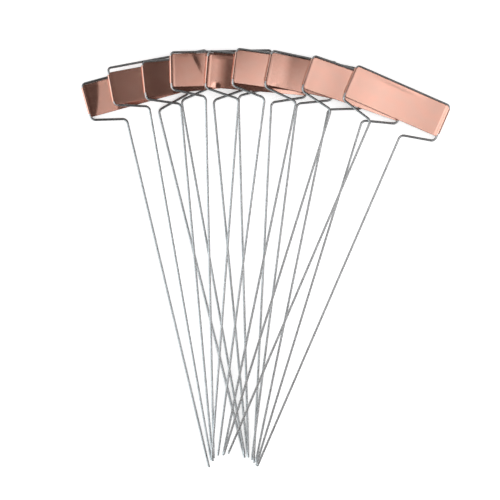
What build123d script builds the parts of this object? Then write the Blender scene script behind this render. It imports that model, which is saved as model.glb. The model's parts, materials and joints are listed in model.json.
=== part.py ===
from build123d import *
from itertools import combinations, product
from math import cos, radians, sin, sqrt, tan
import os

# Nine garden label stakes laid out in a fan on a table, one over the next from left to right.
# Each stake is one bent wire and one copper label whose two ends are rolled round the wire's frame.
# The fan is seen from above: +X is right, +Y points from the tips to the labels, +Z is up.

# Sizes of the wire, in millimetres and degrees.
stake_length = 270.0  # from the tips to the outside of the top wire
wire_diameter = 1.6
wire_sides = 8  # the round wire is drawn as a prism, because nine round ones take too many facets
frame_width = 68.5  # over the outsides of the two side wires
frame_height = 24.6  # from the top wire's centre line down to the lower corners
leg_spacing = 21.9  # between the two legs' centre lines, where they leave the shoulders
shoulder_slope = 13.0  # the shoulders fall this much towards the legs
top_bend_radius = 2.0  # all bend radii are on the wire's centre line
low_bend_radius = 3.2
leg_bend_radius = 3.4

# Sizes of the label.
sheet_thickness = 0.25
hem_clearance = 0.15  # between the wire and the inside of the rolled hem
hem_wrap = 250.0  # how far the hem goes round the wire
top_setback = 1.4  # the hem is cut this much shorter than the face at its upper end
low_setback = 2.4  # and this much at its lower end, where the wire's bend is wider
label_travel = 3.0  # how far the label can slide up and down in its frame
label_corner_radius = 1.2
hem_ride_share = 0.7  # part of the hem's free way onto a bend that the label uses

# How the stakes lie on one another.
lay_clearance = 0.1  # left between a stake and the one that it lies on
balance_share = 0.75  # how far up the legs a stake's balance point is
level_share = 0.01  # part of the clearance by which a support may stand proud and still count as level

# The nine stakes from left to right. A lean is from upright, in degrees, positive with the head to the
# right. The foot is the middle between the tips.
head_leans = (-15.3, -10.6, -6.0, -1.3, 4.8, 7.8, 11.9, 19.2, 23.6)
left_leg_leans = (-13.3, -10.0, -5.1, -1.2, 4.4, 7.6, 11.9, 17.5, 23.4)
right_leg_leans = (-13.9, -10.2, -5.5, -1.5, 2.9, 7.4, 11.8, 17.3, 23.6)
# The foot's place, in shares of the leg spacing, from the middle of all the feet.
foot_x_shares = (-0.202, -0.157, -0.096, -0.084, -0.044, 0.013, 0.141, 0.153, 0.235)
foot_y_shares = (-0.091, 0.075, 0.006, 0.049, -0.045, 0.058, 0.030, -0.003, 0.003)
# The legs are cut by hand, so each stake has its own share of the full length.
cut_shares = (0.9915, 0.994, 0.993, 1.000, 0.9995, 0.997, 0.9985, 0.999, 1.002)
# The right shoulder sits this much lower than the left one, in shares of the frame's height.
right_drop_shares = (0.0, 0.0, 0.0, 0.0, 0.020, 0.030, 0.025, 0.0, 0.038)
# Where each label has come to rest in its travel, from 0 at the top to 1 at the bottom.
label_rest_shares = (0.22, 0.92, 0.15, 0.25, 0.63, 0.22, 0.34, 0.22, 0.09)

# Sizes that follow from those above.
wire_radius = wire_diameter / 2
half_frame = (frame_width - wire_diameter) / 2  # to a side wire's centre line
half_legs = leg_spacing / 2
shoulder_drop = (half_frame - half_legs) * tan(radians(shoulder_slope))
head_height = shoulder_drop + frame_height  # from the neck, between the leg tops, to the top wire
hem_inside = wire_radius + hem_clearance
hem_outside = hem_inside + sheet_thickness


def hem_ride(bend_radius):
    """How far a hem can go past the end of a straight wire before the bend fills it."""
    inner_bend = bend_radius - wire_radius
    return hem_ride_share * sqrt(2 * inner_bend * hem_clearance - hem_clearance**2)


# Heights in the head, measured up from the neck.
low_bend_length = low_bend_radius * tan(radians((90 - shoulder_slope) / 2))
hem_lowest = shoulder_drop + low_bend_length - hem_ride(low_bend_radius)
hem_highest = head_height - top_bend_radius + hem_ride(top_bend_radius)
hem_height = hem_highest - hem_lowest - label_travel
label_height = hem_height + top_setback + low_setback

# The least heights between the middle planes of two stakes that lie on one another.
head_layer = 2 * hem_outside + lay_clearance
foot_layer = wire_diameter + lay_clearance


class Stake:
    """One stake: the outline of its wire, and where it lies in the fan."""

    def __init__(self, number):
        place = number - 1
        self.number = number
        self.lean = radians(head_leans[place])
        legs_lean = radians((left_leg_leans[place] + right_leg_leans[place]) / 2)
        leg_length = stake_length * cut_shares[place] - wire_radius - head_height
        self.foot_x = foot_x_shares[place] * leg_spacing
        self.foot_y = foot_y_shares[place] * leg_spacing
        self.neck_x = self.foot_x + leg_length * sin(legs_lean)
        self.neck_y = self.foot_y + leg_length * cos(legs_lean)
        right_drop = right_drop_shares[place] * frame_height
        self.outline = []
        for side, leg_leans, drop in ((-1, left_leg_leans, 0), (1, right_leg_leans, right_drop)):
            turn = radians(leg_leans[place]) - self.lean
            tip = (side * half_legs - leg_length * sin(turn), -leg_length * cos(turn))
            self.outline.append([
                tip,
                (side * half_legs, -drop),
                (side * half_frame, shoulder_drop - drop),
                (side * half_frame, head_height),
            ])
        self.label_low = hem_lowest + (1 - label_rest_shares[place]) * label_travel

    def spot(self, across, up):
        """The place on the table under a point of the stake."""
        x = self.neck_x + across * cos(self.lean) + up * sin(self.lean)
        y = self.neck_y - across * sin(self.lean) + up * cos(self.lean)
        return x, y

    def tips(self):
        return [self.spot(*leg[0]) for leg in self.outline]

    def hem_ends(self, side):
        return [self.spot(side * half_frame, up) for up in (hem_lowest, hem_highest)]

    def height(self, x, y):
        """The height of the stake's middle plane above a place on the table."""
        return self.level + self.slope_x * x + self.slope_y * y

    def settle(self, supports):
        """Lets the stake down onto three supports, one of them under its right-hand hem on the table."""
        corners = [(*spot, hem_outside) for spot in self.hem_ends(1)]
        balance_x = self.foot_x + balance_share * (self.neck_x - self.foot_x)
        balance_y = self.foot_y + balance_share * (self.neck_y - self.foot_y)
        lowest = None
        for (x1, y1, z1), ((x2, y2, z2), (x3, y3, z3)) in product(corners, combinations(supports, 2)):
            area = (x2 - x1) * (y3 - y1) - (x3 - x1) * (y2 - y1)
            if abs(area) < wire_diameter * leg_spacing:
                continue
            slope_x = ((z2 - z1) * (y3 - y1) - (z3 - z1) * (y2 - y1)) / area
            slope_y = ((x2 - x1) * (z3 - z1) - (x3 - x1) * (z2 - z1)) / area
            level = z1 - slope_x * x1 - slope_y * y1
            through = [z - level - slope_x * x - slope_y * y for x, y, z in corners + supports]
            height = level + slope_x * balance_x + slope_y * balance_y
            if max(through) < level_share * lay_clearance and (lowest is None or height < lowest):
                lowest = height
                self.level, self.slope_x, self.slope_y = level, slope_x, slope_y

    def plane(self, middle_x, middle_y):
        """The stake's middle plane, with its origin at the neck, seen from the fan's middle."""
        height = self.height(self.neck_x, self.neck_y)
        origin = (self.neck_x - middle_x, self.neck_y - middle_y, height)
        across = (cos(self.lean), -sin(self.lean))
        fall = self.slope_x * across[0] + self.slope_y * across[1]
        return Plane(origin, x_dir=(*across, fall), z_dir=(-self.slope_x, -self.slope_y, 1))


# Each stake rests on the table and on the stake to its left.
stakes = []
for number in range(1, len(head_leans) + 1):
    stake = Stake(number)
    supports = [(*spot, wire_radius) for spot in stake.tips()]
    supports += [(*spot, hem_outside) for spot in stake.hem_ends(-1)]
    if stakes:
        under = stakes[-1]
        supports += [(*spot, under.height(*spot) + foot_layer) for spot in stake.tips()]
        overlap = stake.hem_ends(-1) + under.hem_ends(1)
        supports += [(*spot, under.height(*spot) + head_layer) for spot in overlap]
    stake.settle(supports)
    stakes.append(stake)

# The origin is on the table under the middle of the fan. The reach is that of the rounded corners.
corner_cut = top_bend_radius + wire_radius
reach_x, reach_y = [], []
for stake in stakes:
    for side in (-1, 1):
        for up in (head_height - top_bend_radius, shoulder_drop + low_bend_length):
            x, y = stake.spot(side * (half_frame + hem_outside - corner_cut), up)
            reach_x += [x - corner_cut, x + corner_cut]
            reach_y.append(y + corner_cut)
    reach_y += [y - wire_radius * abs(sin(stake.lean)) for x, y in stake.tips()]
middle_x = (min(reach_x) + max(reach_x)) / 2
middle_y = (min(reach_y) + max(reach_y)) / 2


def make_wire(stake, plane):
    """One wire, bent from tip to tip round the frame, and swept along its centre line."""
    left, right = stake.outline
    side_radii = [leg_bend_radius, low_bend_radius, top_bend_radius]
    with BuildPart() as wire:
        with BuildLine(plane) as centre_line:
            FilletPolyline(*left, *reversed(right), radius=side_radii + side_radii[::-1])
        with BuildSketch(centre_line.line ^ 0):
            RegularPolygon(wire_radius, wire_sides)
        sweep()
    return wire


def make_label(stake, plane):
    """One copper label: a flat face in front of the side wires, and a hem rolled round each."""
    hem_start = plane.from_local_coords((0, stake.label_low, 0))
    section = Plane(hem_start, x_dir=plane.x_dir, z_dir=-plane.y_dir)
    middle_up = stake.label_low - low_setback + label_height / 2
    with BuildPart() as label:
        with BuildSketch(section):
            with BuildLine():
                Line((-half_frame, hem_outside), (half_frame, hem_outside))
                Line((-half_frame, hem_inside), (half_frame, hem_inside))
                for side, start, wrap in ((-1, 90, hem_wrap), (1, 90, -hem_wrap)):
                    centre = (side * half_frame, 0)
                    outer = CenterArc(centre, hem_outside, start, wrap)
                    inner = CenterArc(centre, hem_inside, start, wrap)
                    Line(outer @ 1, inner @ 1)
            make_face()
        extrude(amount=-hem_height)
        with BuildSketch(plane.offset(hem_inside)):
            with Locations((0, middle_up)):
                RectangleRounded(2 * half_frame - 2 * hem_clearance, label_height, label_corner_radius)
        extrude(amount=sheet_thickness)
    return label


os.makedirs("parts", exist_ok=True)
for stake in stakes:
    plane = stake.plane(middle_x, middle_y)

    wire = make_wire(stake, plane)
    wire.part.label = f"stake_{stake.number}_wire"
    export_step(wire.part, f"parts/{wire.part.label}.step")

    label = make_label(stake, plane)
    label.part.label = f"stake_{stake.number}_label"
    export_step(label.part, f"parts/{label.part.label}.step")

print(f"label {2 * (half_frame + hem_outside):.1f} wide, {label_height:.1f} high, hem {hem_height:.1f}")
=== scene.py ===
# %% [markdown]
# A fan of nine garden label stakes lies on a white table. Each stake is two things: a galvanised wire bent
# into a head frame with two long legs, and a copper plate whose ends are rolled round the frame's sides.
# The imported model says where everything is, so the first step is to load it. Nothing in it is moved.

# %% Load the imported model
import json
import math

import bpy
import numpy as np
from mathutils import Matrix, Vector

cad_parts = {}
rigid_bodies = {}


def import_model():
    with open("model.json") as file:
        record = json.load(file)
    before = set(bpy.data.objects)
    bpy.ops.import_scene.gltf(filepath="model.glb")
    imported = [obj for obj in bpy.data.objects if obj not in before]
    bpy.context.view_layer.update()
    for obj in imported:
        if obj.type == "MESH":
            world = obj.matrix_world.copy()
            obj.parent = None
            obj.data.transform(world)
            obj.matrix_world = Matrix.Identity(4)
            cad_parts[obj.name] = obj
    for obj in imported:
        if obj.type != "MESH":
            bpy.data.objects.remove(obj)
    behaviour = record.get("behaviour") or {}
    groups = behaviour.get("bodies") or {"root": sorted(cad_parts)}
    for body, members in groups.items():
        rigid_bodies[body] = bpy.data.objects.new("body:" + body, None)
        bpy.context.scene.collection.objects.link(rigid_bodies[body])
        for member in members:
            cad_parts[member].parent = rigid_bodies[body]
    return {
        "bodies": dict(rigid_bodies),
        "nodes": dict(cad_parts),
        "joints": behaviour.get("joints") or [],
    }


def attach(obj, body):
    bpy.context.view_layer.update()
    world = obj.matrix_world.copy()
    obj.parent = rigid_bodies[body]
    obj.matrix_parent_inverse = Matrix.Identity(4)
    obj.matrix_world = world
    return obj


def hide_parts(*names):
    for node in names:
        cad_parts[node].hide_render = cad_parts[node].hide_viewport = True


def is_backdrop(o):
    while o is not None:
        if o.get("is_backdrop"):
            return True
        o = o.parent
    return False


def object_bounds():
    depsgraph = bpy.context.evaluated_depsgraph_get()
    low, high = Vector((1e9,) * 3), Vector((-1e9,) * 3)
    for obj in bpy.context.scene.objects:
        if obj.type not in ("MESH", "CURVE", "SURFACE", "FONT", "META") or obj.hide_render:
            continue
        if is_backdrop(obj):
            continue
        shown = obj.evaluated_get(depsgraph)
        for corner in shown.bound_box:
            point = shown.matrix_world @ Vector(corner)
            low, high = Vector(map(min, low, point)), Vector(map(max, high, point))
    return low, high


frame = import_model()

mm = 0.001

cad_box = [list(corner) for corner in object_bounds()]
stake_numbers = range(1, sum(name.startswith("stake_") for name in frame["bodies"]) + 1)
print("stakes", len(stake_numbers), "box in mm", [round((b - a) / mm, 1) for a, b in zip(*cad_box)])

# %% [markdown]
# Every stake lies tipped on its neighbour, so a plate can't be drawn along the table's own axes. It is
# easier to draw each stake flat, in its own frame, and then to carry it into place. That frame is read from
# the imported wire. The plate's slide gives the direction up the stake. The wire is flat, so the direction in
# which its points spread least is the one that stands out of the stake. The third direction goes across.

# %% Find each stake's own frame
head_band = 10 * mm  # this near its top, the wire is as wide as the frame


def points_of(node):
    """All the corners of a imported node, as an array of places."""
    mesh = frame["nodes"][node].data
    places = np.zeros(len(mesh.vertices) * 3, np.float32)
    mesh.vertices.foreach_get("co", places)
    return places.reshape(-1, 3).astype(float)


class StakeFrame:
    """One stake's directions across, up and out, and its origin at the middle of the head's top."""

    def __init__(self, number):
        wire = points_of(f"stake_{number}_wire")
        joint = next(j for j in frame["joints"] if j["name"] == f"label_slide_{number}")
        up = np.array(joint["axis"])
        self.up = up / np.linalg.norm(up)
        spread = np.linalg.svd(wire - wire.mean(axis=0), full_matrices=False)[2]
        out = spread[2] * np.sign(spread[2][2])
        out -= self.up * (out @ self.up)
        self.out = out / np.linalg.norm(out)
        self.across = np.cross(self.up, self.out)
        self.origin = np.zeros(3)
        flat = self.flat(wire)
        head = flat[flat[:, 1] > flat[:, 1].max() - head_band]
        self.origin = self.place(
            (head[:, 0].min() + head[:, 0].max()) / 2,
            flat[:, 1].max(),
            (flat[:, 2].min() + flat[:, 2].max()) / 2,
        )

    def flat(self, places):
        """Places in the stake's own across, up and out."""
        return (places - self.origin) @ np.stack([self.across, self.up, self.out], axis=1)

    def place(self, across, up, out):
        """Places in the model, from distances across, up and out, which may be arrays."""
        across, up, out = np.broadcast_arrays(across, up, out)
        return (
            self.origin
            + across[..., None] * self.across
            + up[..., None] * self.up
            + out[..., None] * self.out
        )


frames = {number: StakeFrame(number) for number in stake_numbers}
for number, stake in frames.items():
    print("stake", number, "stands out towards", np.round(stake.out, 3))

# %% [markdown]
# All new pieces here are sheets of points worked out with numpy: a grid whose rows and columns are joined
# into quads. One helper turns such a grid into a mesh. Rows may close into a ring, and the ends may be
# closed with a pole. The helper also keeps a flat pattern map, in metres, so that a finish can follow the
# piece. Another helper keeps one number for each corner, which a finish can read.

# %% Make a mesh from grids of points


def grid_quads(rows, columns, ring=False, first=0, turned=False):
    """Corner numbers of all quads between neighbouring rows and columns of one grid."""
    row, column = np.meshgrid(np.arange(rows - 1), np.arange(columns if ring else columns - 1), indexing="ij")
    after = (column + 1) % columns
    this_row, next_row = row * columns, (row + 1) * columns
    quads = [this_row + column, this_row + after, next_row + after, next_row + column]
    corners = np.stack(quads, axis=-1).reshape(-1, 4)
    return first + (corners[:, ::-1] if turned else corners)


def make_piece(name, places, faces, flat_map, sharp_angle=None):
    """A smooth mesh object from places, a list of face arrays and a map place for each corner."""
    mesh = bpy.data.meshes.new(name)
    mesh.from_pydata(places, [], [face for block in faces for face in block.tolist()])
    layer = mesh.uv_layers.new(name="sheet")
    corner = np.zeros(len(mesh.loops), np.int32)
    mesh.loops.foreach_get("vertex_index", corner)
    layer.data.foreach_set("uv", np.asarray(flat_map, np.float32)[corner].ravel())
    mesh.shade_smooth()
    if sharp_angle:
        mesh.set_sharp_from_angle(angle=sharp_angle)
    mesh.update()
    piece = bpy.data.objects.new(name, mesh)
    bpy.context.scene.collection.objects.link(piece)
    return piece


def keep_number(piece, name, values):
    """Keeps one number for each corner of the piece, under that name."""
    attribute = piece.data.attributes.new(name, "FLOAT", "POINT")
    attribute.data.foreach_set("value", values.astype(np.float32))


print("helpers ready")

# %% [markdown]
# The wire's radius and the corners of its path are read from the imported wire. Points in the bends are left
# out there, so straight lines can be fitted to the rest. A path with true arcs is made by cutting each
# corner back by the tangent length, radius times the tangent of half the turn, and putting an arc there.

# %% The wire's sizes and its path
top_bend, low_bend, leg_bend = 2.0 * mm, 3.2 * mm, 3.4 * mm
leg_spacing = 21.9 * mm
shoulder_depth = 40 * mm  # the shoulders lie below the head band and above this
leg_bend_reach, low_bend_reach = 2.4 * mm, 2.25 * mm  # the bends take up this much of a shoulder's two ends
neck_reach = 2.3 * mm  # the leg's bend takes up this much below the shoulders
run_step = 3.0 * mm
bend_step = math.radians(7)


def rounded_path(corners, radii):
    """The places along runs joined by arcs, and a share for each: 0 on a run, 1 halfway round a bend."""
    path, bent = [corners[0]], [0.0]
    for before, corner, after, radius in zip(corners[:-2], corners[1:-1], corners[2:], radii):
        arriving = (corner - before) / np.linalg.norm(corner - before)
        leaving = (after - corner) / np.linalg.norm(after - corner)
        turn = math.atan2(arriving[0] * leaving[1] - arriving[1] * leaving[0], arriving @ leaving)
        cut = radius * math.tan(abs(turn) / 2)
        start = corner - arriving * cut
        middle = start + np.sign(turn) * radius * np.array([-arriving[1], arriving[0]])
        runs = max(2, int(np.linalg.norm(start - path[-1]) / run_step))
        share = np.linspace(0, 1, runs + 1)[1:-1, None]
        path += list(path[-1] * (1 - share) + start * share)
        bent += [0.0] * (runs - 1)
        steps = max(3, int(abs(turn) / bend_step))
        angles = np.linspace(0, turn, steps + 1)
        arm = start - middle
        turned_arm = np.array([-arm[1], arm[0]])
        path += [middle + (arm * math.cos(angle) + turned_arm * math.sin(angle)) for angle in angles]
        bent += list(np.sin(np.linspace(0, math.pi, steps + 1)))
    runs = max(2, int(np.linalg.norm(corners[-1] - path[-1]) / run_step))
    share = np.linspace(0, 1, runs + 1)[1:, None]
    path += list(path[-1] * (1 - share) + corners[-1] * share)
    bent += [0.0] * runs
    return np.array(path), np.array(bent)


def fitted_line(places):
    """The straight line nearest to the places: one place on it, and its direction."""
    middle = places.mean(axis=0)
    return middle, np.linalg.svd(places - middle, full_matrices=False)[2][0]


def crossing(line, other):
    """Where two flat lines cross."""
    (start, along), (other_start, other_along) = line, other
    share = np.linalg.solve(np.stack([along, -other_along], axis=1), other_start - start)[0]
    return start + along * share


def wire_outline(number):
    """The corners of the wire's centre line from tip to tip, its radius, and half the frame's width."""
    flat = frames[number].flat(points_of(f"stake_{number}_wire"))
    radius = (flat[:, 2].max() - flat[:, 2].min()) / 2
    half_frame = flat[flat[:, 1] > -head_band][:, 0].max() - radius
    flat = flat[:, :2]
    sides = []
    for side in (-1, 1):
        reach = side * flat[:, 0]
        in_head = (flat[:, 1] < -head_band) & (flat[:, 1] > -shoulder_depth)
        straight = (reach > leg_spacing / 2 + leg_bend_reach) & (reach < half_frame - low_bend_reach)
        shoulder = fitted_line(flat[in_head & straight])
        upright = (np.array([side * half_frame, 0.0]), np.array([0.0, 1.0]))
        low_corner = crossing(shoulder, upright)
        place, along = shoulder
        neck = place[1] + (leg_spacing / 2 - side * place[0]) * side * along[1] / along[0]
        legs = flat[flat[:, 1] < neck - neck_reach]
        leg = legs[side * (legs[:, 0] - legs[:, 0].mean()) > 0]
        leg_top = crossing(shoulder, fitted_line(leg))
        tip = leg[leg[:, 1] < leg[:, 1].min() + radius].mean(axis=0)
        sides.append([tip, leg_top, low_corner, np.array([side * half_frame, -radius])])
    return sides[0] + sides[1][::-1], radius, half_frame


outline, wire_radius, half_frame = wire_outline(9)
print("wire radius in mm", round(wire_radius / mm, 3), "half frame", round(half_frame / mm, 2))
print("outline", [tuple(np.round(corner / mm, 1)) for corner in outline])

# %% [markdown]
# A wire could be a curve with a round bevel. A grid is chosen instead, because a real wire isn't quite
# round everywhere: each bend is pressed a little flat, and each tip is pinched to a chisel by the nippers
# that cut it. The section is a circle carried along the path, and its thickness is scaled at the bends and
# the tips.

# %% Carry a round section along the path
around = 20
snip_length = 1.6 * mm
snip_rings = 4
snip_thickness_share = 0.45
bend_flat_share = 0.06
wire_sharp_angle = math.radians(50)


def make_wire(number):
    """A tube: each ring is the path's place plus radius times cosine sideways and sine outwards."""
    stake = frames[number]
    outline, radius, _ = wire_outline(number)
    radii = [leg_bend, low_bend, top_bend, top_bend, low_bend, leg_bend]
    path, bent = rounded_path(outline, radii)
    share = np.linspace(0, snip_length / run_step, snip_rings)[1:, None]
    first_snip = path[0] + (path[1] - path[0]) * share
    last_snip = path[-1] + (path[-2] - path[-1]) * share[::-1]
    path = np.vstack([path[:1], first_snip, path[1:-1], last_snip, path[-1:]])
    bent = np.concatenate([[0] * snip_rings, bent[1:-1], [0] * snip_rings])
    along = np.concatenate([[0], np.cumsum(np.linalg.norm(np.diff(path, axis=0), axis=1))])
    tangent = np.gradient(path, along, axis=0)
    tangent /= np.linalg.norm(tangent, axis=1)[:, None]
    sideways = np.stack([-tangent[:, 1], tangent[:, 0]], axis=1)
    to_end = np.minimum(along, along[-1] - along)
    pinch = np.clip(1 - to_end / snip_length, 0, 1)
    thick = radius * (1 - (1 - snip_thickness_share) * pinch) * (1 - bend_flat_share * bent)
    angle = np.linspace(0, 2 * math.pi, around, endpoint=False)
    reach = np.broadcast_to(radius * np.cos(angle), (len(path), around))
    across = path[:, 0, None] + reach * sideways[:, 0, None]
    up = path[:, 1, None] + reach * sideways[:, 1, None]
    out = thick[:, None] * np.sin(angle)
    rings = stake.place(across, up, out).reshape(-1, 3)
    ends = stake.place(path[[0, -1], 0], path[[0, -1], 1], 0.0)
    rows = len(path)
    body = grid_quads(rows, around, ring=True, turned=True)
    ring = np.arange(around)
    following = (ring + 1) % around
    last_ring = (rows - 1) * around
    first_pole, last_pole = np.full(around, rows * around), np.full(around, rows * around + 1)
    first_cap = np.stack([following, first_pole, ring], axis=1)
    last_cap = np.stack([last_ring + ring, last_pole, last_ring + following], axis=1)
    round_map = np.stack(np.broadcast_arrays(angle[None, :] * radius, along[:, None]), axis=-1).reshape(-1, 2)
    flat_map = np.vstack([round_map, [[0, along[0]], [0, along[-1]]]])
    places = np.vstack([rings, ends])
    faces = [body, first_cap, last_cap]
    piece = make_piece(f"galvanised_wire_{number}", places, faces, flat_map, wire_sharp_angle)
    # how much of each ring's direction runs across the stake; the zinc paints shade into its colour by this
    keep_number(piece, "crosswise", np.append(np.repeat(np.abs(tangent[:, 0]), around), [0, 0]))
    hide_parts(f"stake_{number}_wire")
    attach(piece, f"stake_{number}")
    return piece


wires = {number: make_wire(number) for number in stake_numbers}
print("wires", len(wires), "faces each about", len(wires[1].data.polygons))

# %% [markdown]
# Hot zinc freezes on steel wire as dull grey crystals. The finish is a metal with a mottled grey colour,
# patches that are more or less matt, and a very low relief. Voronoi cells make the crystals, and a noise
# the patches. Wires of one batch differ in tone, so each gets its own. The photograph shows the wires
# darker where they run across the stake, so shade is painted into the colour there: it is darkened by the
# number that each corner of the wire keeps.

# %% The zinc finish
# painted shade: where the wire runs straight across the stake, its colour is this share of its tone
crosswise_painted_shade = 0.45
crystal_share = 0.45
zinc_roughness = (0.20, 0.34)


def add_node(tree, kind, **values):
    """A node of that kind, with named inputs or properties set."""
    node = tree.nodes.new(kind)
    for name, value in values.items():
        if name in node.inputs:
            node.inputs[name].default_value = value
        else:
            setattr(node, name, value)
    return node


def ramp(tree, source, stops):
    """A colour ramp through the given places and colours."""
    node = tree.nodes.new("ShaderNodeValToRGB")
    elements = node.color_ramp.elements
    while len(elements) < len(stops):
        elements.new(0.5)
    for element, (place, colour) in zip(elements, stops):
        element.position = place
        element.color = (*colour, 1.0)
    tree.links.new(source, node.inputs["Fac"])
    return node.outputs["Color"]


def map_range(tree, source, from_low, from_high, to_low, to_high, smooth=False):
    """A value stretched evenly or smoothly from one range to another, and held at its limits."""
    node = tree.nodes.new("ShaderNodeMapRange")
    limits = {"From Min": from_low, "From Max": from_high, "To Min": to_low, "To Max": to_high}
    for name, value in limits.items():
        node.inputs[name].default_value = value
    if smooth:
        node.interpolation_type = "SMOOTHSTEP"
    tree.links.new(source, node.inputs["Value"])
    return node.outputs["Result"]


def new_finish(name):
    """An empty material, its node tree and its main shader."""
    material = bpy.data.materials.new(name)
    material.use_nodes = True
    tree = material.node_tree
    return material, tree, tree.nodes["Principled BSDF"]


def zinc(name, tone):
    """Galvanised wire: mottled grey metal, tone from 0, dark, to 1, light, with painted shade where it runs
    across the stake.
    """
    material, tree, shader = new_finish(name)
    place = tree.nodes.new("ShaderNodeTexCoord").outputs["Object"]
    crystals = add_node(tree, "ShaderNodeTexVoronoi", Scale=900.0, Randomness=1.0)
    patches = add_node(tree, "ShaderNodeTexNoise", Scale=140.0, Detail=4.0, Roughness=0.6)
    tree.links.new(place, crystals.inputs["Vector"])
    tree.links.new(place, patches.inputs["Vector"])
    dark = 0.46 + 0.24 * tone
    light = 0.62 + 0.26 * tone
    mixed = add_node(tree, "ShaderNodeMix", data_type="FLOAT")
    mixed.inputs[0].default_value = crystal_share
    tree.links.new(patches.outputs["Fac"], mixed.inputs[2])
    tree.links.new(crystals.outputs["Distance"], mixed.inputs[3])
    colour = ramp(tree, mixed.outputs[0], [
        (0.25, (dark * 0.98, dark, dark * 1.01)),
        (0.65, (light * 0.99, light, light * 1.01)),
    ])
    # painted shade: the colour is darkened where the wire runs across the stake
    crosswise = tree.nodes.new("ShaderNodeAttribute")
    crosswise.attribute_name = "crosswise"
    shade = map_range(tree, crosswise.outputs["Fac"], 0.0, 1.0, 1.0, crosswise_painted_shade)
    shaded = add_node(tree, "ShaderNodeVectorMath", operation="SCALE")
    tree.links.new(colour, shaded.inputs[0])
    tree.links.new(shade, shaded.inputs["Scale"])
    tree.links.new(shaded.outputs["Vector"], shader.inputs["Base Color"])
    matt = map_range(tree, patches.outputs["Fac"], 0.0, 1.0, *zinc_roughness)
    tree.links.new(matt, shader.inputs["Roughness"])
    relief = add_node(tree, "ShaderNodeBump", Strength=0.25, Distance=0.00002)
    tree.links.new(crystals.outputs["Distance"], relief.inputs["Height"])
    tree.links.new(relief.outputs["Normal"], shader.inputs["Normal"])
    shader.inputs["Metallic"].default_value = 1.0
    return material


wire_tones = dict(zip(stake_numbers, (0.3, 0.25, 0.3, 0.65, 0.75, 0.75, 0.7, 0.8, 0.9)))
for number, piece in wires.items():
    piece.data.materials.append(zinc(f"zinc_{number}", wire_tones[number]))
print("zinc finishes", len(wires))

# %% [markdown]
# The copper plate is one cut sheet. Its flat face lies in front of the side wires and its two ends roll
# back round them. Unrolled, it is a plain grid: one direction across the developed width, one up the
# height. The first becomes an arc past each side wire. The height changes with the width, because the
# rolled ends are cut shorter and the face's corners are rounded.

# %% The plate's sizes and its unrolled outline
sheet_thickness = 0.25 * mm
hem_wrap = math.radians(250)
hem_gap = 0.15 * mm
corner_radius = 1.2 * mm
top_setback, low_setback = 1.4 * mm, 2.4 * mm
hem_inside = wire_radius + hem_gap
hem_outside = hem_inside + sheet_thickness
hem_middle = (hem_inside + hem_outside) / 2
hem_width = hem_middle * hem_wrap
face_edge = half_frame - hem_gap
corner_band = 3 * mm  # the columns are closer together this near the face's edge
roll_start = 0.02 * mm  # the first column of the hem is this far past the face's edge
face_columns, band_columns, corner_columns, roll_columns = 46, 9, 8, 26
edge_rows = np.array([0, 0.04, 0.09, 0.16, 0.28, 0.5, 0.9]) * mm  # how far these rows are from the cut
inner_rows = 17


def plate_columns():
    """Places across the developed width, closer together at the corners and in the rolls."""
    face = np.concatenate([
        np.linspace(0, face_edge - corner_band, face_columns),
        np.linspace(face_edge - corner_band, face_edge - corner_radius, band_columns)[1:],
        face_edge - corner_radius * (1 - np.sin(np.linspace(0, math.pi / 2, corner_columns)[1:])),
    ])
    roll = np.concatenate([[face_edge + roll_start], half_frame + np.linspace(0, hem_width, roll_columns)])
    right = np.concatenate([face, roll])
    return np.concatenate([-right[:0:-1], right])


def plate_reach(width, full, setback):
    """How far the sheet goes up or down from its middle: full, then less at the corners and on the hems."""
    inset = np.clip(np.abs(width) - (face_edge - corner_radius), 0, corner_radius)
    rounded = full - corner_radius + np.sqrt(corner_radius**2 - inset**2)
    return np.where(np.abs(width) > face_edge, full - setback, rounded)


def plate_rows(full):
    """Shares of the reach from the lower edge to the upper, closer together at the edges."""
    near_edge = 1 - edge_rows / full
    inner = np.linspace(near_edge[-1], 0, inner_rows)[1:]
    upper = np.concatenate([near_edge, inner])
    return np.concatenate([-upper[:-1], upper[::-1]])


def plate_heights(full):
    """Each grid corner's height from the sheet's middle, and its distance from the cut above or below."""
    rows = plate_rows(full)[:, None]
    upwards, downwards = (plate_reach(columns, full, setback) for setback in (top_setback, low_setback))
    reach = np.where(rows > 0, upwards, downwards)
    return rows * reach, reach * (1 - np.abs(rows))


columns = plate_columns()
print("plate columns", len(columns), "developed width in mm", round(2 * columns[-1] / mm, 1))

# %% [markdown]
# Thin copper never stays flat. Hands and the rolling of the ends leave long shallow bends and a few dents,
# and because copper is shiny, a slope of half a degree already changes what it mirrors. So the face is
# pushed in or out a little, by an amount that varies over it. Each plate has its own list of such marks,
# placed by the photograph. In them all lengths are in millimetres, with x from the left side wire and y from
# the plate's middle.

# %% The marks that handling leaves
lift_reach, lift_fade = 26, 20
twist_top, twist_reach, twist_end, twist_fade = 11, 26, 30, 30
roll_fade = 2.2 * mm
wire_band, wire_band_fade = 3.5, 2.3
inward_limit = 0.11  # near its upper edge the plate can't be pushed in further, as the top wire is behind it


def soft_step(x):
    """Rises smoothly from 0 at 0 to 1 at 1, as three x squared less two x cubed."""
    x = np.clip(x, 0, 1)
    return x * x * (3 - 2 * x)


def bow(x, y, from_x, to_x, slope_left, slope_right):
    """A long bend: the slope across the plate changes evenly from the left one to the right one."""
    share = np.clip((x - from_x) / (to_x - from_x), 0, 1)
    inside = (slope_left * share + (slope_right - slope_left) * share * share / 2) * (to_x - from_x)
    return inside + slope_left * np.minimum(x - from_x, 0) + slope_right * np.maximum(x - to_x, 0)


def dent(x, y, at, size, angle, depth):
    """A bell-shaped dent: depth times e to the minus distance squared, in a turned ellipse of that size."""
    turn = math.radians(angle)
    along = (x - at[0]) * math.cos(turn) + (y - at[1]) * math.sin(turn)
    beside = (y - at[1]) * math.cos(turn) - (x - at[0]) * math.sin(turn)
    return -depth * np.exp(-((along / size[0]) ** 2) - (beside / size[1]) ** 2)


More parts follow.
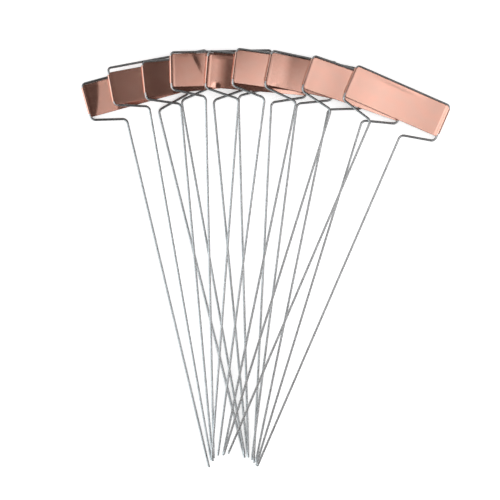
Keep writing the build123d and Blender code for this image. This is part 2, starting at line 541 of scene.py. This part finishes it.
def crease(x, y, start, end, width, rise):
    """A pinched line: the sheet rises to its right as 1 less e to the minus distance, most at its start."""
    run = np.array(end) - np.array(start)
    length = np.linalg.norm(run)
    run = run / length
    along = ((x - start[0]) * run[0] + (y - start[1]) * run[1]) / length
    beside = ((x - start[0]) * -run[1] + (y - start[1]) * run[0]) / width
    return rise * (1 - np.exp(-np.maximum(beside, 0))) * (1 - soft_step(along)) * soft_step(along + 1)


def lift(x, y, from_x, slope):
    """The part that the next plate covers: it rises evenly, then falls back softly to the far hem."""
    fallen = soft_step((x - from_x - lift_reach) / lift_fade)
    return slope * np.clip(x - from_x, 0, lift_reach) * (1 - fallen)


def twist(x, y, rate):
    """A twisted plate: it falls to the right, more so lower down, and this fades out towards the far hem."""
    faded = soft_step((x - twist_end) / twist_fade)
    return rate * np.clip(x, 0, twist_reach) * (y - twist_top) * (1 - faded)


def ridge(x, y, start, bend, end, left_slope, right_slope, softness):
    """A curved fold: the plate falls away on both sides of a line that runs through three places."""
    share = (y - end[1]) / (start[1] - end[1])
    bend_share = (bend[1] - end[1]) / (start[1] - end[1])
    chord = end[0] + (start[0] - end[0]) * share
    bulge = bend[0] - end[0] - (start[0] - end[0]) * bend_share
    line = chord + bulge * share * (1 - share) / (bend_share * (1 - bend_share))
    beside = (x - line) / softness
    rounding = softness * np.log1p(np.exp(-np.abs(beside)))
    left_fall = left_slope * (np.maximum(-beside, 0) * softness + rounding)
    right_fall = right_slope * (np.maximum(beside, 0) * softness + rounding)
    return -left_fall - right_fall


plate_marks = {
    1: [(ridge, dict(start=(10.5, 11), bend=(8.6, 2), end=(3.4, -11), left_slope=0.018, right_slope=0.024,
                     softness=0.35)),
        (bow, dict(from_x=18, to_x=19.5, slope_left=0.0, slope_right=0.044)),
        (bow, dict(from_x=53, to_x=57, slope_left=0.0, slope_right=-0.075))],
    2: [(bow, dict(from_x=4, to_x=20, slope_left=0.0, slope_right=0.004)),
        (lift, dict(from_x=22, slope=0.020)),
        (bow, dict(from_x=36, to_x=60, slope_left=0.0, slope_right=-0.008))],
    3: [(bow, dict(from_x=2, to_x=8, slope_left=0.0, slope_right=0.005)),
        (lift, dict(from_x=18, slope=0.018)),
        (bow, dict(from_x=36, to_x=60, slope_left=0.0, slope_right=-0.016))],
    4: [(bow, dict(from_x=2, to_x=20, slope_left=-0.012, slope_right=-0.006)),
        (twist, dict(rate=0.0003)),
        (lift, dict(from_x=23.2, slope=0.035)),
        (bow, dict(from_x=38, to_x=60, slope_left=0.0, slope_right=0.02)),
        (crease, dict(start=(14.5, 9), end=(21.0, -6), width=2.4, rise=0.14))],
    5: [(bow, dict(from_x=6, to_x=14, slope_left=-0.022, slope_right=0.008)),
        (lift, dict(from_x=18, slope=0.018)),
        (dent, dict(at=(6.4, -9.8), size=(1.7, 1.8), angle=0, depth=0.16))],
    6: [(bow, dict(from_x=4, to_x=24, slope_left=0.004, slope_right=0.003)),
        (twist, dict(rate=0.0006)),
        (bow, dict(from_x=22.2, to_x=23.2, slope_left=0.0, slope_right=0.05)),
        (bow, dict(from_x=36, to_x=38, slope_left=0.0, slope_right=-0.08))],
    7: [(bow, dict(from_x=9, to_x=15, slope_left=0.0, slope_right=0.020)),
        (twist, dict(rate=0.0008)),
        (bow, dict(from_x=26, to_x=60, slope_left=0.0, slope_right=-0.04)),
        (dent, dict(at=(6.4, -10.5), size=(2.2, 1.4), angle=20, depth=0.05))],
    8: [(bow, dict(from_x=8, to_x=22, slope_left=-0.010, slope_right=0.006)),
        (bow, dict(from_x=26, to_x=60, slope_left=0.0, slope_right=-0.010))],
    9: [(bow, dict(from_x=20, to_x=60, slope_left=-0.010, slope_right=0.028))],
}


def face_push(number, width, height):
    """How far the face is pushed in or out at each place, in metres, fading out towards the rolls."""
    x = (width + half_frame) / mm
    y = height / mm
    total = np.zeros(np.broadcast(x, y).shape)
    for mark, values in plate_marks[number]:
        total = total + mark(x, y, **values)
    edge = face_edge - np.abs(width)
    at_hem = total[:, [np.argmin(np.abs(columns + face_edge))]]
    push = (total - at_hem) * soft_step(edge / roll_fade)
    near_wire = soft_step((wire_band - (height.max() - height) / mm) / wire_band_fade)
    held = inward_limit * np.tanh(push / inward_limit)
    return np.where(push < 0, push + (held - push) * near_wire, push) * mm


print("plates with marks", len(plate_marks))

# %% [markdown]
# Now the sheet itself. Its outer and inner skins are the same grid at two radii, and the four rims join
# them. The cutting shear also rolls the outer skin down a little along each edge, and that catches the light.

# %% Roll and cut the nine plates
rolled_edge = 0.05 * mm  # how far the shear rolls the outer skin down at the cut
inner_share = 0.4  # the inner skin's part of that
shear_fade = 0.12 * mm
plate_sharp_angle = math.radians(40)


def plate_skin(number, full, radius, rolled):
    """Across, up and out of one skin: flat over the face, an arc of that radius past each side wire."""
    width = columns[None, :]
    height, from_edge = plate_heights(full)
    angle = np.clip(np.abs(width) - half_frame, 0, None) / hem_middle
    rolled_place = np.sign(width) * (half_frame + radius * np.sin(angle))
    across = np.where(np.abs(width) > half_frame, rolled_place, width)
    out = radius * np.cos(angle)
    fall = rolled * np.exp(-from_edge / shear_fade) * (np.abs(width) <= half_frame)
    out = out + face_push(number, width, height) * (np.abs(width) < face_edge) - fall
    return np.broadcast_arrays(across, height, out)


def make_plate(number):
    """A closed sheet of two skins and a rim, carried into the stake's frame."""
    stake = frames[number]
    flat = stake.flat(points_of(f"stake_{number}_label"))
    middle = (flat[:, 1].min() + flat[:, 1].max()) / 2
    full = (flat[:, 1].max() - flat[:, 1].min()) / 2
    outer = plate_skin(number, full, hem_outside, rolled_edge)
    inner = plate_skin(number, full, hem_inside, rolled_edge * inner_share)
    rows, count = outer[0].shape
    skins = [stake.place(across, middle + up, out).reshape(-1, 3) for across, up, out in (outer, inner)]
    size = rows * count
    grid = np.arange(size).reshape(rows, count)
    border = np.concatenate([grid[0, :-1], grid[:-1, -1], grid[-1, :0:-1], grid[:0:-1, 0]])
    following = np.roll(border, -1)
    rim = np.stack([border, border + size, following + size, following], axis=1)
    faces = [grid_quads(rows, count), grid_quads(rows, count, first=size, turned=True), rim]
    flat_map = np.stack(np.broadcast_arrays(columns[None, :], outer[1]), axis=-1).reshape(-1, 2)
    both_maps = np.vstack([flat_map, flat_map])
    piece = make_piece(f"copper_label_{number}", np.vstack(skins), faces, both_maps, plate_sharp_angle)
    edge = np.minimum(plate_heights(full)[1], columns[-1] - np.abs(columns))
    keep_number(piece, "from_edge", np.tile((edge / mm).ravel(), 2))
    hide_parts(f"stake_{number}_label")
    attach(piece, f"label_{number}")
    return piece


plates = {number: make_plate(number) for number in stake_numbers}
print("plates", len(plates), "faces each", len(plates[1].data.polygons))

# %% [markdown]
# Copper from the mill is satin, with very fine lines along the way it was rolled, a few patches that hands
# have dulled, and edges that have darkened first. The lines follow the sheet round the rolls, so they are
# drawn on its unrolled map. The tarnish is drawn from the distance to the cut edge, which the mesh carries
# along.

# %% The copper finish
copper_light = (0.960, 0.580, 0.475)
copper_warm = (0.930, 0.530, 0.425)
copper_edge = (0.780, 0.380, 0.270)
copper_roughness = (0.15, 0.21)
tarnish_width, tarnish_share = 0.6, 0.25  # in millimetres from the cut, and its strength there
pattern_step = 3.7  # how far the pattern moves on from one plate to the next


def copper(name, seed, tone):
    """Mill copper, scaled by its tone, a painted shade for each plate: pale and warm, with rolling lines,
    dulled patches and darker edges.
    """
    material, tree, shader = new_finish(name)
    links = tree.links
    sheet = tree.nodes.new("ShaderNodeUVMap")
    sheet.uv_map = "sheet"
    lines_map = add_node(tree, "ShaderNodeMapping", Scale=(120.0, 9000.0, 1.0), Location=(seed, 0.0, 0.0))
    patch_map = add_node(tree, "ShaderNodeMapping", Scale=(90.0, 140.0, 1.0), Location=(seed, seed, 0.0))
    links.new(sheet.outputs["UV"], lines_map.inputs["Vector"])
    links.new(sheet.outputs["UV"], patch_map.inputs["Vector"])
    lines = add_node(tree, "ShaderNodeTexNoise", Scale=1.0, Detail=3.0, Roughness=0.6)
    patches = add_node(tree, "ShaderNodeTexNoise", Scale=1.0, Detail=5.0, Roughness=0.55)
    links.new(lines_map.outputs["Vector"], lines.inputs["Vector"])
    links.new(patch_map.outputs["Vector"], patches.inputs["Vector"])
    body = ramp(tree, patches.outputs["Fac"], [
        (0.35, tuple(tone * part for part in copper_warm)),
        (0.6, tuple(tone * part for part in copper_light)),
    ])
    edge = tree.nodes.new("ShaderNodeAttribute")
    edge.attribute_name = "from_edge"
    tarnish = map_range(tree, edge.outputs["Fac"], 0.0, tarnish_width, tarnish_share, 0.0)
    mixed = add_node(tree, "ShaderNodeMix", data_type="RGBA")
    links.new(tarnish, mixed.inputs[0])
    links.new(body, mixed.inputs[6])
    mixed.inputs[7].default_value = (*copper_edge, 1.0)
    links.new(mixed.outputs[2], shader.inputs["Base Color"])
    matt = map_range(tree, patches.outputs["Fac"], 0.0, 1.0, *copper_roughness)
    links.new(matt, shader.inputs["Roughness"])
    relief = add_node(tree, "ShaderNodeBump", Strength=0.4, Distance=0.00001)
    links.new(lines.outputs["Fac"], relief.inputs["Height"])
    links.new(relief.outputs["Normal"], shader.inputs["Normal"])
    rolled_way = tree.nodes.new("ShaderNodeTangent")
    rolled_way.direction_type = "UV_MAP"
    rolled_way.uv_map = "sheet"
    links.new(rolled_way.outputs["Tangent"], shader.inputs["Tangent"])
    shader.inputs["Anisotropic"].default_value = 1.0
    shader.inputs["Anisotropic Rotation"].default_value = 0.25
    shader.inputs["Metallic"].default_value = 1.0
    return material


# the tones are painted shade: lit and shaded copies of one copper, one for each plate
painted_plate_shade = dict(zip(stake_numbers, (1.0, 0.95, 0.8, 0.94, 1.0, 0.84, 0.84, 1.0, 1.0)))
for number, piece in plates.items():
    piece.data.materials.append(copper(f"copper_{number}", pattern_step * number, painted_plate_shade[number]))
print("copper finishes", len(plates))

# %% [markdown]
# The stakes lie on a plain white table, which keeps their soft shadows. In the photograph the open table is
# burnt out to white, so for the camera the table has a little light of its own. What the metal mirrors of
# it is greyer.

# %% The table
table_size = 6.0
table_gap = 0.05 * mm
table_white = (0.90, 0.90, 0.90, 1.0)
table_mirrored = (0.75, 0.75, 0.75, 1.0)
burnt_out = 0.42


def make_sheet(name, corners, height):
    """A level sheet with four corners."""
    mesh = bpy.data.meshes.new(name)
    mesh.from_pydata([(*corner, height) for corner in corners], [], [(0, 1, 2, 3)])
    sheet = bpy.data.objects.new(name, mesh)
    bpy.context.scene.collection.objects.link(sheet)
    return sheet


def mix_shaders(tree, share, first, second):
    """The first shader where the share is 0, and the second where it is 1."""
    mix = tree.nodes.new("ShaderNodeMixShader")
    for source, socket in zip((share, first, second), mix.inputs):
        tree.links.new(source, socket)
    return mix.outputs["Shader"]


def use_surface(tree, surface):
    """Makes a shader the material's surface."""
    output = next(node for node in tree.nodes if node.type == "OUTPUT_MATERIAL")
    tree.links.new(surface, output.inputs["Surface"])


def make_table():
    """A flat square under the stakes, a hair below the lowest point."""
    half = table_size / 2
    corners = [(-half, -half), (half, -half), (half, half), (-half, half)]
    table = make_sheet("table", corners, cad_box[0][2] - table_gap)
    material, tree, shader = new_finish("white_table")
    shader.inputs["Base Color"].default_value = table_white
    shader.inputs["Roughness"].default_value = 0.9
    shader.inputs["Specular IOR Level"].default_value = 0.0
    shader.inputs["Emission Color"].default_value = (1.0, 1.0, 1.0, 1.0)
    shader.inputs["Emission Strength"].default_value = burnt_out
    mirrored = add_node(tree, "ShaderNodeBsdfDiffuse", Color=table_mirrored)
    ray = tree.nodes.new("ShaderNodeLightPath")
    mix = mix_shaders(tree, ray.outputs["Is Camera Ray"], mirrored.outputs["BSDF"], shader.outputs["BSDF"])
    use_surface(tree, mix)
    table.data.materials.append(material)
    table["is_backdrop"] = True


make_table()
print("table size in m", table_size)

# %% [markdown]
# Shiny metal looks like what it mirrors, so the room matters more than the lamps. A metre above the stakes
# is the ceiling of the photographer's tent. It is dark where the camera hangs, bright towards the right,
# and it has a narrow bright gap on the left. Each plate leans a little differently and lies at its own
# place, so it mirrors its own part of the ceiling. That is why the plates go from brown to pale pink. The
# ceiling is a real sheet, because a plate mirrors it from nearby, and only mirrored rays see it.

# %% The ceiling that the metal mirrors
ceiling_height = 1.0
ceiling_left, ceiling_right, ceiling_front, ceiling_back = -0.7, 0.9, -0.16, 0.24
ceiling_stops_mm = (
    (-700, 0.03), (-88, 0.03), (-76, 0.66), (-30, 0.66), (-10, 0.03), (220, 0.03), (230, 0.14), (240, 0.34),
    (252, 0.52), (268, 0.68), (288, 0.84), (314, 1.00), (900, 1.00),
)
ceiling_brightness = 1.75
shade_tint, half_tint, light_tint = (1.0, 0.58, 0.46), (1.0, 0.90, 0.86), (1.0, 1.0, 1.0)


def lit_colour(tree, lightness):
    """White where it is light, and warmer in the dark parts."""
    return ramp(tree, lightness, [(0.05, shade_tint), (0.5, half_tint), (0.95, light_tint)])


def make_ceiling():
    """A sheet that shines by its own gradient from left to right, for mirrored rays alone."""
    left, right = ceiling_left, ceiling_right
    corners = [(left, ceiling_front), (left, ceiling_back), (right, ceiling_back), (right, ceiling_front)]
    ceiling = make_sheet("ceiling", corners, ceiling_height)
    material, tree, shader = new_finish("tent_ceiling")
    tree.nodes.remove(shader)
    parts = tree.nodes.new("ShaderNodeSeparateXYZ")
    tree.links.new(tree.nodes.new("ShaderNodeTexCoord").outputs["Object"], parts.inputs["Vector"])
    share = map_range(tree, parts.outputs["X"], left, right, 0.0, 1.0)
    lightness = ramp(tree, share, [
        ((place * mm - left) / (right - left), (value, value, value)) for place, value in ceiling_stops_mm
    ])
    bright = add_node(tree, "ShaderNodeMath", operation="MULTIPLY")
    bright.inputs[1].default_value = ceiling_brightness
    tree.links.new(lightness, bright.inputs[0])
    glow = tree.nodes.new("ShaderNodeEmission")
    tree.links.new(lit_colour(tree, lightness), glow.inputs["Color"])
    tree.links.new(bright.outputs["Value"], glow.inputs["Strength"])
    use_surface(tree, glow.outputs["Emission"])
    ceiling.data.materials.append(material)
    for kind in ("camera", "diffuse", "transmission", "volume_scatter", "shadow"):
        setattr(ceiling, f"visible_{kind}", False)
    ceiling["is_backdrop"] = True


make_ceiling()
print("ceiling stops", len(ceiling_stops_mm))

# %% [markdown]
# Past the ceiling's edges the metal mirrors the walls. They are dark, with a wide bright window at the
# front left and dimmer ones elsewhere. The windows stop short of the ceiling, so flat plates don't mirror
# them from above, but the rolled hems at the left of the plates do, as a thin pale line. Matt things get an
# even light from all around.

# %% The walls
diffuse_level = 1.0
wall_dark = 0.08
wall_shade = (1.0, 0.92, 0.88)
wall_light = (0.86, 0.96, 1.0)
# Each window has its azimuth and half its width, in degrees, and a brightness.
wall_windows = ((215, 45, 1.7), (310, 14, 0.6), (80, 20, 0.3), (135, 28, 0.45))
window_fade = 3
window_top, window_top_fade = 0.80, 0.06  # sines of an elevation


def make_room():
    """White for the camera, an even light for matt things, and dark walls with bright windows for metal."""
    world = bpy.data.worlds.new("room")
    bpy.context.scene.world = world
    world.use_nodes = True
    tree = world.node_tree
    links = tree.links
    tree.nodes.clear()
    direction = tree.nodes.new("ShaderNodeTexCoord").outputs["Generated"]
    level_part = add_node(tree, "ShaderNodeVectorMath", operation="MULTIPLY")
    links.new(direction, level_part.inputs[0])
    level_part.inputs[1].default_value = (1.0, 1.0, 0.0)
    level = add_node(tree, "ShaderNodeVectorMath", operation="NORMALIZE")
    links.new(level_part.outputs["Vector"], level.inputs[0])
    lightness = None
    for azimuth, half_width, brightness in wall_windows:
        towards = math.radians(azimuth)
        facing = add_node(tree, "ShaderNodeVectorMath", operation="DOT_PRODUCT")
        links.new(level.outputs["Vector"], facing.inputs[0])
        facing.inputs[1].default_value = (math.cos(towards), math.sin(towards), 0.0)
        outside = math.cos(math.radians(half_width + window_fade))
        inside = math.cos(math.radians(half_width - window_fade))
        window = map_range(tree, facing.outputs["Value"], outside, inside, 0.0, brightness, smooth=True)
        if lightness is None:
            lightness = window
        else:
            total = add_node(tree, "ShaderNodeMath", operation="ADD")
            links.new(lightness, total.inputs[0])
            links.new(window, total.inputs[1])
            lightness = total.outputs["Value"]
    elevation = tree.nodes.new("ShaderNodeSeparateXYZ")
    links.new(direction, elevation.inputs["Vector"])
    above_all, below_all = window_top + window_top_fade, window_top - window_top_fade
    below = map_range(tree, elevation.outputs["Z"], above_all, below_all, 0.0, 1.0)
    wall = add_node(tree, "ShaderNodeMath", operation="MULTIPLY_ADD")
    links.new(lightness, wall.inputs[0])
    links.new(below, wall.inputs[1])
    wall.inputs[2].default_value = wall_dark
    lightness = wall.outputs["Value"]
    daylight = ramp(tree, lightness, [(0.05, wall_shade), (0.95, wall_light)])
    mirrored = tree.nodes.new("ShaderNodeBackground")
    links.new(daylight, mirrored.inputs["Color"])
    links.new(lightness, mirrored.inputs["Strength"])
    even = add_node(tree, "ShaderNodeBackground", Strength=diffuse_level)
    white = add_node(tree, "ShaderNodeBackground", Strength=1.0)
    for background in (even, white):
        background.inputs["Color"].default_value = (1.0, 1.0, 1.0, 1.0)
    ray = tree.nodes.new("ShaderNodeLightPath")
    for_metal = mix_shaders(
        tree, ray.outputs["Is Glossy Ray"], even.outputs["Background"], mirrored.outputs["Background"])
    for_camera = mix_shaders(tree, ray.outputs["Is Camera Ray"], for_metal, white.outputs["Background"])
    output = tree.nodes.new("ShaderNodeOutputWorld")
    links.new(for_camera, output.inputs["Surface"])


make_room()
print("windows", len(wall_windows))

# %% [markdown]
# One real lamp adds a direction to the shadows: a large soft panel, front right, turned towards the middle
# of the fan. The camera looks straight down from far away, because in the photograph near and far stakes
# are the same size.

# %% The lamp and the camera
lamp_place = Vector((1.2, -0.3, 1.3))

lamp = bpy.data.lights.new("soft_panel", "AREA")
lamp.shape = "RECTANGLE"
lamp.size, lamp.size_y = 1.2, 0.9
lamp.energy = 4.0
lamp_holder = bpy.data.objects.new("soft_panel", lamp)
bpy.context.scene.collection.objects.link(lamp_holder)
lamp_holder.location = lamp_place
lamp_holder.rotation_mode = "QUATERNION"
lamp_holder.rotation_quaternion = (-lamp_place).to_track_quat("-Z", "Y")
lamp_holder.visible_glossy = False

picture_size = 500
mm_per_pixel = 0.662
view_centre = (-10.53 * mm, 5.14 * mm)
camera_distance = 10.0
camera_data = bpy.data.cameras.new("camera")
camera_data.lens = camera_data.sensor_width * camera_distance / (picture_size * mm_per_pixel * mm)
camera_data.clip_end = 100.0
camera = bpy.data.objects.new("camera", camera_data)
bpy.context.scene.collection.objects.link(camera)
camera.location = (*view_centre, camera_distance)
camera.rotation_euler = (0, 0, 0)
bpy.context.scene.camera = camera
bpy.context.scene.view_settings.view_transform = "Standard"
print("lens in mm", round(camera_data.lens))

# %% [markdown]
# The last cell measures the box of what shows here, and prints how far it reaches past the imported model's
# box.

# %% Measure how far the box has grown
shown_box = [list(corner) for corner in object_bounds()]
grown = [round((b - a) / mm, 3) for a, b in zip(cad_box[0] + cad_box[1], shown_box[0] + shown_box[1])]
print("grown by mm", grown)
